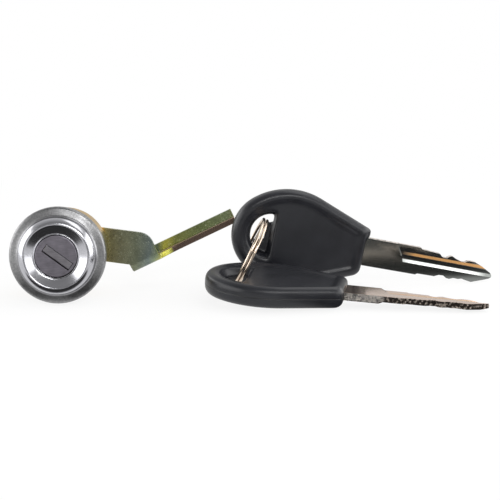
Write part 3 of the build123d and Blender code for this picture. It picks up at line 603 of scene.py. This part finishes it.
# Nickel-plated brass strip: smooth drawn flats, a painted warm highlight on the groove's outer wall and
# a painted pale highlight on its inner wall
def bladeMaterial(name, place, code, roughness, warmHighlightShare):
    s = bladeFinish
    material, tree, shader = startMaterial(name, code, 1.0, roughness)
    spot = placedCoords(tree, place)
    split = addNode(tree, "ShaderNodeSeparateXYZ", inputs={"Vector": spot})
    # the back has the same bands, turned half round the blade's length
    side = addNode(tree, "ShaderNodeMath", {"operation": "SIGN"}, {0: split.outputs["Z"]})
    across = addNode(tree, "ShaderNodeMath", {"operation": "MULTIPLY"}, {
        0: split.outputs["Y"], 1: side.outputs[0]})
    unit = addNode(tree, "ShaderNodeMapRange", inputs={
        "Value": across.outputs[0], "From Min": -s["span"] / 2 * mm, "From Max": s["span"] / 2 * mm})
    masks = {}
    for band in ("warmHighlightBand", "paleHighlightBand"):
        low, lowFull, highFull, high = (distance / s["span"] + 0.5 for distance in s[band])
        masks[band] = addNode(tree, "ShaderNodeValToRGB", inputs={
            "Fac": unit.outputs["Result"]}, stops=[
            (low, grey(0.0)), (lowFull, grey(1.0)), (highFull, grey(1.0)), (high, grey(0.0))])
    start = addNode(tree, "ShaderNodeMapRange", inputs={
        "Value": split.outputs["X"], "From Min": s["bandStart"][0] * mm,
        "From Max": s["bandStart"][1] * mm, "To Max": warmHighlightShare}).outputs["Result"]
    end = addNode(tree, "ShaderNodeMapRange", inputs={
        "Value": split.outputs["X"], "From Min": s["paleHighlightEnd"][0] * mm,
        "From Max": s["paleHighlightEnd"][1] * mm, "To Min": 1.0, "To Max": 0.0})
    reach = addNode(tree, "ShaderNodeMath", {"operation": "MULTIPLY"}, {
        0: start, 1: end.outputs["Result"]})
    wearAndHighlight = addNode(tree, "ShaderNodeMath", {"operation": "MULTIPLY"}, {
        0: masks["warmHighlightBand"].outputs["Color"], 1: start}).outputs[0]
    paleHighlightShare = addNode(tree, "ShaderNodeMath", {"operation": "MULTIPLY"}, {
        0: masks["paleHighlightBand"].outputs["Color"], 1: reach.outputs[0]})
    drawing = grainPattern(tree, spot, **s["drawing"])
    lines = addNode(tree, "ShaderNodeValToRGB", inputs={"Fac": drawing}, stops=[
        (noiseLow, grey(s["drawingDark"])), (noiseHigh, grey(1.0))])
    plate = addNode(tree, "ShaderNodeMix", {"data_type": "RGBA", "blend_type": "MULTIPLY"}, {
        "Factor": s["drawingShare"], "A": linearColour(code), "B": lines.outputs["Color"]})
    walled = addNode(tree, "ShaderNodeMix", {"data_type": "RGBA"}, {
        "Factor": paleHighlightShare.outputs[0], "A": plate.outputs["Result"], "B": linearColour(s["paleHighlight"])})
    colour = addNode(tree, "ShaderNodeMix", {"data_type": "RGBA"}, {
        "Factor": wearAndHighlight, "A": walled.outputs["Result"], "B": linearColour(s["warmHighlight"])})
    rough = addNode(tree, "ShaderNodeMix", {"data_type": "FLOAT"}, {
        "Factor": wearAndHighlight, "A": roughness, "B": s["warmHighlightRoughness"]})
    dressShader(tree, shader, colour.outputs["Result"], rough.outputs["Result"], drawing, s["relief"])
    return material


sawnFinish = {
    "roughness": 0.36,
    "teeth": {"width": 0.32, "detail": 2.0},
    "patches": {"width": 0.8, "detail": 3.0},
    "patchRange": (0.36, 0.56),
    "patchDark": 0.35,
    # part painted dark as shade, with painted glints: its colours, the range of its glints and how
    # softly it starts, in mm
    "paintedShade": "#423B37",
    "glint": "#EBDCCE",
    "glintRange": (0.52, 0.66),
    "paintedShadeFade": 2.0,
    "reliefDepth": 0.3,
}


# Sawn edges of a blade: rough bright metal with short glints; past a place in mm, painted dark as shade
# with painted glints
def sawnMaterial(name, place, code, relief, paintedShadeFrom):
    s = sawnFinish
    material, tree, shader = startMaterial(name, code, 1.0, s["roughness"])
    spot = placedCoords(tree, place)
    teeth = grainPattern(tree, spot, **s["teeth"])
    patches = grainPattern(tree, spot, **s["patches"])
    colour = addNode(tree, "ShaderNodeValToRGB", inputs={"Fac": patches}, stops=[
        (s["patchRange"][0], shaded(code, s["patchDark"])),
        (s["patchRange"][1], linearColour(code))]).outputs["Color"]
    if paintedShadeFrom:
        glints = addNode(tree, "ShaderNodeValToRGB", inputs={"Fac": patches}, stops=[
            (s["glintRange"][0], linearColour(s["paintedShade"])),
            (s["glintRange"][1], linearColour(s["glint"]))])
        split = addNode(tree, "ShaderNodeSeparateXYZ", inputs={"Vector": spot})
        paintedShadeShare = addNode(tree, "ShaderNodeMapRange", inputs={
            "Value": split.outputs["X"], "From Min": paintedShadeFrom * mm,
            "From Max": (paintedShadeFrom + s["paintedShadeFade"]) * mm})
        colour = addNode(tree, "ShaderNodeMix", {"data_type": "RGBA"}, {
            "Factor": paintedShadeShare.outputs["Result"], "A": colour,
            "B": glints.outputs["Color"]}).outputs["Result"]
    dressShader(tree, shader, colour, s["roughness"], teeth, (relief, s["reliefDepth"]))
    return material


finishes = {
    "bezel": bezelMaterial(),
    "face": faceMaterial("brushedSteelFace", "#86828A", 0.38),
    "shutter": faceMaterial("wornSteelShutter", "#8D8A8F", 0.4),
    "chromate": chromateMaterial(),
    "castZinc": plainMetal("castZinc", "#A9ABAD", 0.5, 0.8, 0.05),
    "brass": plainMetal("machinedBrass", "#C9A75E", 0.32, 0.5, 0.02),
    "springSteel": plainMetal("drawnSpringSteel", "#93959A", 0.3, 0.5, 0.02),
    "gasketRubber": rubberMaterial("pressedRubber", "lock", "#1B1B1C", 0.7, 0),
    "headRubber1": rubberMaterial("mouldedRubberStanding", "key1", "#18191E", 0.33, 0.2),
    "headRubber2": rubberMaterial("mouldedRubberLying", "key2", "#18191E", 0.33, 0.2),
    # both blades carry the same nickel plate: the lying one's pale warm tone is painted warm light, the
    # standing one's darker grey is painted shade
    "blade1": bladeMaterial("nickelPlateStanding", "key1", "#8F928F", 0.18, 1.0),
    "blade2": bladeMaterial("nickelPlateLying", "key2", "#F2DDCE", 0.15, 0.3),
    "sawnEdge1": sawnMaterial("sawnNickelStanding", "key1", "#FFF3E9", 0.25, None),
    "sawnEdge2": sawnMaterial("sawnNickelLying", "key2", "#EDE5DD", 0.9, 35.5),
    # the plug shows only in the gap round its face: its brass is painted dark as that gap's shade
    "plugBrass": plainMetal("brassDarkenedAsShade", "#5F5B54", 0.45, 0.5, 0.02),
    "ring": wireMaterial(),
}
nodeFinish = {
    "bezel_cap": "bezel", "plug_face_cap": "face", "shutter_flap": "shutter",
    "lock_housing": "castZinc", "sealing_gasket": "gasketRubber", "spring_cup": "chromate",
    "lever": "chromate", "return_spring": "springSteel", "shutter_pin": "springSteel",
    "shutter_spring": "springSteel", "wafer_springs": "springSteel", "lever_retainer": "springSteel",
    "lever_spacer": "springSteel", "plug_core": "plugBrass", "key_1_head": "headRubber1",
    "key_2_head": "headRubber2", "key_1_blade": "blade1", "key_2_blade": "blade2", "key_ring": "ring",
}
nodeFinish.update({f"wafer_{i}": "brass" for i in range(1, 7)})
for nodeName, finish in nodeFinish.items():
    nodes[nodeName].data.materials.clear()
    nodes[nodeName].data.materials.append(finishes[finish])
print("materials made:", len(finishes))


# Modelling helpers

modelling = {
    "mergeWithin": 0.01,  # mm between vertices that become one
    "flatWithin": 0.5,  # degrees between faces that are joined into one flat
    "hardAngle": 35,  # degrees from which an edge stays hard
    "flatWeight": 80,  # how strongly a broad flat keeps its own normal
}


# Selects these pieces alone, the last one active; without any, everything is deselected.
def selectOnly(*pieces):
    bpy.ops.object.select_all(action="DESELECT")
    for piece in pieces:
        piece.select_set(True)
        bpy.context.view_layer.objects.active = piece


# Moves the active object's place and scale into its mesh.
def applyPlace():
    bpy.ops.object.transform_apply(location=True, rotation=True, scale=True)
    return bpy.context.object


# Opens a piece for editing with all of it selected.
def startEdit(piece):
    selectOnly(piece)
    bpy.ops.object.mode_set(mode="EDIT")
    bpy.ops.mesh.select_all(action="SELECT")


def endEdit():
    bpy.ops.object.mode_set(mode="OBJECT")


def mergeVertices():
    bpy.ops.mesh.remove_doubles(threshold=modelling["mergeWithin"] * mm)


def applyModifier(piece, kind, settings):
    selectOnly(piece)
    modifier = piece.modifiers.new(kind.lower(), kind)
    for name, value in settings.items():
        setattr(modifier, name, value)
    bpy.ops.object.modifier_apply(modifier=modifier.name)


# Breaks the edges that turn by more than an angle, by two narrow facets; width in mm.
def bevelEdges(piece, width, angle):
    applyModifier(piece, "BEVEL", {
        "width": width * mm, "segments": 2, "limit_method": "ANGLE",
        "angle_limit": math.radians(angle)})


def cutWith(piece, cutter, operation="DIFFERENCE", solver="EXACT"):
    applyModifier(piece, "BOOLEAN", {"object": cutter, "operation": operation, "solver": solver})
    bpy.data.objects.remove(cutter)


# A new piece with a copy of another one's mesh
def copyPiece(source, name):
    piece = bpy.data.objects.new(name, source.data.copy())
    bpy.context.scene.collection.objects.link(piece)
    return piece


# A copy of a CAD node, with its loose triangles merged and new normals. It stays in edit mode.
def copyNode(nodeName, name, move):
    piece = copyPiece(nodes[nodeName], name)
    piece.data.transform(move)
    startEdit(piece)
    mergeVertices()
    bpy.ops.mesh.customdata_custom_splitnormals_clear()
    return piece


# One vertex drawn out along points in mm; a closed chain gets its face. It stays in edit mode.
def drawChain(name, points, closed):
    selectOnly()
    bpy.ops.mesh.primitive_plane_add(size=mm, location=(0, 0, 0))
    piece = bpy.context.object
    piece.name = name
    startEdit(piece)
    bpy.ops.mesh.merge(type="CENTER")
    bpy.ops.mesh.select_all(action="SELECT")
    bpy.ops.transform.translate(value=Vector(points[0]) * mm)
    for before, point in zip(points, points[1:]):
        step = (Vector(point) - Vector(before)) * mm
        bpy.ops.mesh.extrude_region_move(TRANSFORM_OT_translate={"value": step})
    bpy.ops.mesh.select_all(action="SELECT")
    if closed:
        bpy.ops.mesh.edge_face_add()
        bpy.ops.mesh.select_all(action="SELECT")
    return piece


# A closed chain drawn out into a solid
def drawSolid(name, points, depth):
    piece = drawChain(name, points, True)
    bpy.ops.mesh.extrude_region_move(TRANSFORM_OT_translate={"value": Vector(depth) * mm})
    bpy.ops.mesh.select_all(action="SELECT")
    bpy.ops.mesh.normals_make_consistent(inside=False)
    endEdit()
    return piece


# Puts a piece that was built at the origin into its place, smooths it and hands it to the frame.
def finishPiece(piece, s):
    if "place" in s:
        piece.matrix_world = places[s["place"]]
    selectOnly(piece)
    applyPlace()
    hardAngle = s.get("hardAngle", modelling["hardAngle"])
    bpy.ops.object.shade_smooth_by_angle(angle=math.radians(hardAngle))
    if hardAngle < 180:
        # broad flats keep their own normal, so only the broken edges shade round
        applyModifier(piece, "WEIGHTED_NORMAL", {"keep_sharp": True, "weight": modelling["flatWeight"]})
    piece.data.materials.clear()
    piece.data.materials.append(finishes[nodeFinish[s["node"]]])
    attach(piece, s["body"])
    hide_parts(s["node"])
    print("piece made:", piece.name, len(piece.data.polygons), "faces")


# Sheet and machined parts: the CAD shape with its flats joined and its sharp edges broken

# edge is how wide a broken edge is, in mm
brokenEdges = {
    "leverSheet": {"node": "lever", "body": "plug", "slot": "yellow_zinc", "edge": 0.42},
    # a little wider and off the lock's axis, so that its rim shows past the flange's upper right
    # and it still stands on the table
    "springCup": {"node": "spring_cup", "body": "lock", "slot": "yellow_zinc", "edge": 0.1,
                  "grow": 1.025, "shift": (0.3, 0.18)},
    "plugFace": {"node": "plug_face_cap", "body": "plug", "slot": "polished_steel", "edge": 0.08},
    "shutterFlap": {"node": "shutter_flap", "body": "shutter", "slot": "polished_steel", "edge": 0.05},
}


def breakEdges(name):
    s = brokenEdges[name]
    move = Matrix.Identity(4)
    if "grow" in s:
        wider = Matrix.Diagonal((s["grow"], s["grow"], 1, 1))
        shifted = Matrix.Translation((s["shift"][0] * mm, s["shift"][1] * mm, 0))
        move = places["lock"] @ shifted @ wider @ places["lock"].inverted()
    piece = copyNode(s["node"], name, move)
    bpy.ops.mesh.dissolve_limited(angle_limit=math.radians(modelling["flatWithin"]))
    endEdit()
    bevelEdges(piece, s["edge"], modelling["hardAngle"])
    finishPiece(piece, s)


for name in brokenEdges:
    breakEdges(name)


# Bezel: pressed stainless cap, turned from its section

bezel = {
    "node": "bezel_cap", "body": "lock", "slot": "polished_steel", "place": "lock",
    # radius and height of the outside, from the mouth over the crest to the back of the rim
    "section": [
        (6.16, 1.15), (6.16, 2.3), (6.19, 2.42), (6.27, 2.51), (6.38, 2.54), (6.49, 2.5), (6.56, 2.44),
        (6.66, 2.46), (6.9, 2.58), (7.4, 2.88), (8.0, 3.25), (8.5, 3.57), (8.85, 3.8), (9.05, 3.9),
        (9.2, 3.94), (9.36, 3.94), (9.6, 3.87), (9.9, 3.73), (10.2, 3.53), (10.5, 3.24), (10.75, 2.92),
        (10.97, 2.52), (11.12, 2.05), (11.2, 1.55), (11.26, 1.05), (11.36, 0.72), (11.55, 0.52),
        (11.85, 0.4), (12.6, 0.2), (13.3, 0.03),
        (13.6, -0.06), (13.82, -0.22), (13.95, -0.44), (14.0, -0.7), (14.0, -2.6)],
    "wall": 0.55,
    "steps": 200,  # facets round the cap
    "hardAngle": 50,
}


def makeBezel():
    s = bezel
    piece = drawChain("bezelCap", [(radius, 0, height) for radius, height in s["section"]], False)
    bpy.ops.mesh.spin(steps=s["steps"], angle=math.tau, center=(0, 0, 0), axis=(0, 0, 1))
    bpy.ops.mesh.select_all(action="SELECT")
    mergeVertices()
    bpy.ops.mesh.normals_make_consistent(inside=False)
    endEdit()
    applyModifier(piece, "SOLIDIFY", {"thickness": s["wall"] * mm, "offset": -1.0})
    finishPiece(piece, s)


makeBezel()


# Split ring: one steel wire in two flat turns, with a short step from one to the other

ring = {
    "node": "key_ring", "body": "ring", "slot": "ring_steel", "place": "ring",
    # radius of the turns, the wire's thickness and the gap between the turns, in mm
    "radius": 11.6, "wire": 0.92, "gap": 0.16,
    # where the step lies and how long it is, in degrees
    "jogAt": 320.0, "jog": 30.0,
    # how finely the wire is drawn: points along it, then the steps round it and between points
    "points": 96, "roundness": 6, "smoothness": 4,
}


def makeRing():
    s = ring
    curve = bpy.data.curves.new("splitRing", "CURVE")
    curve.dimensions = "3D"
    curve.bevel_depth = s["wire"] / 2 * mm
    curve.bevel_resolution = s["roundness"]
    curve.use_fill_caps = True
    spline = curve.splines.new("NURBS")
    first = s["jogAt"] + s["jog"] / 2
    total = 720 - s["jog"]
    spline.points.add(s["points"] - 1)
    for i, point in enumerate(spline.points):
        turned = total * i / (s["points"] - 1)
        # level goes from the lower turn to the upper one over the jog
        share = (turned - (360 - s["jog"])) / s["jog"]
        level = -1 + 2 * min(1, max(0, share))
        angle = math.radians(first + turned)
        point.co = (s["radius"] * math.cos(angle) * mm, s["radius"] * math.sin(angle) * mm,
                    (s["wire"] + s["gap"]) / 2 * level * mm, 1)
    spline.order_u = s["smoothness"]
    spline.use_endpoint_u = True
    spline.resolution_u = s["smoothness"]
    piece = bpy.data.objects.new("splitRing", curve)
    bpy.context.scene.collection.objects.link(piece)
    selectOnly(piece)
    bpy.ops.object.convert(target="MESH")
    finishPiece(bpy.context.object, s)


makeRing()


# Key blades: milled from flat strip, grooved on both sides, then plated

blade = {
    # edges that turn by more than this angle in degrees are broken
    "thick": 2.3, "edge": 0.1, "edgeAngle": 28,
    "outline": [
        (13.5, 4.0), (25.2, 4.0), (25.4, 4.3), (42.7, 4.2), (43.2, 3.72), (48.9, 3.4), (49.6, 2.75),
        (50.2, 2.42), (51.3, 2.48), (52.0, 3.0), (52.7, 3.3), (53.3, 3.2), (54.1, 2.75), (55.4, 2.35),
        (56.3, 2.1), (57.2, 2.15), (57.9, 2.6), (58.5, 2.78), (60.5, 2.74), (63.3, 1.6), (64.9, 0.75),
        (65.8, 0.3), (66.3, -0.3), (66.25, -0.85), (65.6, -1.4), (64.3, -1.95), (60.2, -3.45),
        (58.3, -3.2), (57.0, -2.95), (56.1, -3.25), (54.5, -3.2), (53.2, -3.72), (52.2, -3.6),
        (51.2, -3.0), (49.8, -3.05), (48.4, -3.7), (43.0, -3.8), (42.4, -4.2), (25.4, -4.3),
        (25.2, -4.0), (13.5, -4.0)],
    # start of the milled half, as the cutter leaves it: along, across, up; then how far it goes
    "milled": [
        (38.3, -1.1, 1.4), (37.7, -1.0, 1.15), (35.9, -0.1, 0.3), (35.1, 1.25, 0.3), (34.9, 2.1, 0.62),
        (34.7, 5.5, 0.62), (34.2, 5.5, 1.4)],
    "milledLength": 40,
    # a face is sawn where less than this part of its normal points out of the blade's flat
    "sawnBelow": 0.3,
}
blades = {
    "standingBlade": {"node": "key_1_blade", "body": "key_1", "slot": "nickel_plate", "place": "key1",
                      "sawn": "sawnEdge1"},
    "lyingBlade": {"node": "key_2_blade", "body": "key_2", "slot": "nickel_plate", "place": "key2",
                   "sawn": "sawnEdge2"},
}


# Both keys have the same cuts, so one blade is modelled and each key gets its own copy.
def drawBlade():
    s = blade
    half = s["thick"] / 2
    piece = drawSolid("cutBlade", [(x, y, -half) for x, y in s["outline"]], (0, 0, s["thick"]))
    for side in (1, -1):
        start = [(x, side * y, side * z) for x, y, z in s["milled"]]
        cutWith(piece, drawSolid("cutter", start, (s["milledLength"], 0, 0)), solver="MANIFOLD")
    bevelEdges(piece, s["edge"], s["edgeAngle"])
    return piece


def makeBlade(name, cutBlade):
    s = blades[name]
    piece = copyPiece(cutBlade, name)
    finishPiece(piece, s)
    # the edges of the strip were cut after drawing, so they have a finish of their own
    piece.data.materials.append(finishes[s["sawn"]])
    out = places[s["place"]].to_3x3() @ Vector((0, 0, 1))
    for face in piece.data.polygons:
        if abs(face.normal.dot(out)) < blade["sawnBelow"]:
            face.material_index = 1


cutBlade = drawBlade()
for name in blades:
    makeBlade(name, cutBlade)
bpy.data.objects.remove(cutBlade)


# Key heads: moulded rubber, softened all over, with the bead running into the hole's rim

head = {
    "halfLength": 17.8, "halfWidth": 14.7, "shift": 2.0, "thickness": 6.5,
    "holeRadius": 6.2, "holeOffset": 3.9,
    # the swell: half sizes and middle of its dome, its distance from the outline and the hole
    "dome": (9.6, 15.0, 3.0), "domeShift": -9.6, "crestInset": 1.5, "holeInset": 1.3,
    # soft mouth of the hole: its radius at the face, where it starts and how far it reaches past
    # the face, kept left of the flat side
    "mouthRadius": 8.0, "mouthDepth": 2.5, "mouthPast": 0.3, "mouthEnd": -3.5,
    "roundSides": 96, "outlineSides": 128,
    # softening: the grain of the new mesh, then how often and how far it is smoothed
    "grain": 0.22, "rounds": 80, "smoothing": 0.5,
}
heads = {
    "standingHead": {
        "node": "key_1_head", "body": "key_1", "slot": "black_rubber", "place": "key1",
        "hardAngle": 180,
        # size and middle of a lug at the collar's upper corner, and of the two blocks of a
        # ledge inside the hole
        "blocks": [
            ((1.3, 2.8, 3.8), (25.5, 5.7, 0.0)), ((2.9, 10.4, 1.9), (-4.0, -1.8, -1.9)),
            ((4.0, 4.4, 1.9), (-6.6, -4.6, -1.9))]},
    "lyingHead": {
        "node": "key_2_head", "body": "key_2", "slot": "black_rubber", "place": "key2",
        "hardAngle": 180, "blocks": []},
}


# The swell left of the hole: a flat dome kept inside the bead and cut out for the ring
def makeSwell():
    s = head
    selectOnly()
    bpy.ops.mesh.primitive_uv_sphere_add(
        segments=s["roundSides"], ring_count=s["roundSides"] // 2, radius=mm,
        location=(s["domeShift"] * mm, 0, 0), scale=s["dome"])
    swell = applyPlace()
    bpy.ops.mesh.primitive_cylinder_add(
        vertices=s["outlineSides"], radius=1, depth=2 * s["thickness"] * mm,
        location=(s["shift"] * mm, 0, 0),
        scale=((s["halfLength"] - s["crestInset"]) * mm, (s["halfWidth"] - s["crestInset"]) * mm, 1))
    cutWith(swell, applyPlace(), "INTERSECT")
    bpy.ops.mesh.primitive_cylinder_add(
        vertices=s["roundSides"], radius=(s["holeRadius"] + s["holeInset"]) * mm,
        depth=3 * s["thickness"] * mm, location=(-s["holeOffset"] * mm, 0, 0))
    cutWith(swell, applyPlace())
    return swell


# One funnel that opens the hole toward a face, flat where the hole is flat
def makeMouth(side):
    s = head
    top = s["thickness"] / 2 + s["mouthPast"]
    deep = s["mouthDepth"] + s["mouthPast"]
    wide = s["mouthRadius"] + s["mouthPast"] * (s["mouthRadius"] - s["holeRadius"]) / s["mouthDepth"]
    radii = (s["holeRadius"], wide) if side > 0 else (wide, s["holeRadius"])
    selectOnly()
    bpy.ops.mesh.primitive_cone_add(
        vertices=s["roundSides"], radius1=radii[0] * mm, radius2=radii[1] * mm, depth=deep * mm,
        location=(-s["holeOffset"] * mm, 0, side * (top - deep / 2) * mm))
    mouth = applyPlace()
    startEdit(mouth)
    bpy.ops.mesh.bisect(
        plane_co=(s["mouthEnd"] * mm, 0, 0), plane_no=(1, 0, 0), use_fill=True, clear_outer=True)
    endEdit()
    return mouth


def makeHead(name, swell):
    s = head
    own = heads[name]
    piece = copyNode(own["node"], name, places[own["place"]].inverted())
    endEdit()
    for side in (1, -1):
        cutWith(piece, makeMouth(side), solver="MANIFOLD")
    print("hole opened:", len(piece.data.polygons), "faces")
    parts = [copyPiece(swell, "swell")]
    for size, middle in own["blocks"]:
        selectOnly()
        bpy.ops.mesh.primitive_cube_add(size=1, location=Vector(middle) * mm, scale=Vector(size) * mm)
        parts.append(applyPlace())
    selectOnly(*parts, piece)
    bpy.ops.object.join()
    applyModifier(piece, "REMESH", {"mode": "VOXEL", "voxel_size": s["grain"] * mm})
    applyModifier(piece, "SMOOTH", {"factor": s["smoothing"], "iterations": s["rounds"]})
    finishPiece(piece, own)


swell = makeSwell()
for name in heads:
    makeHead(name, swell)
bpy.data.objects.remove(swell)
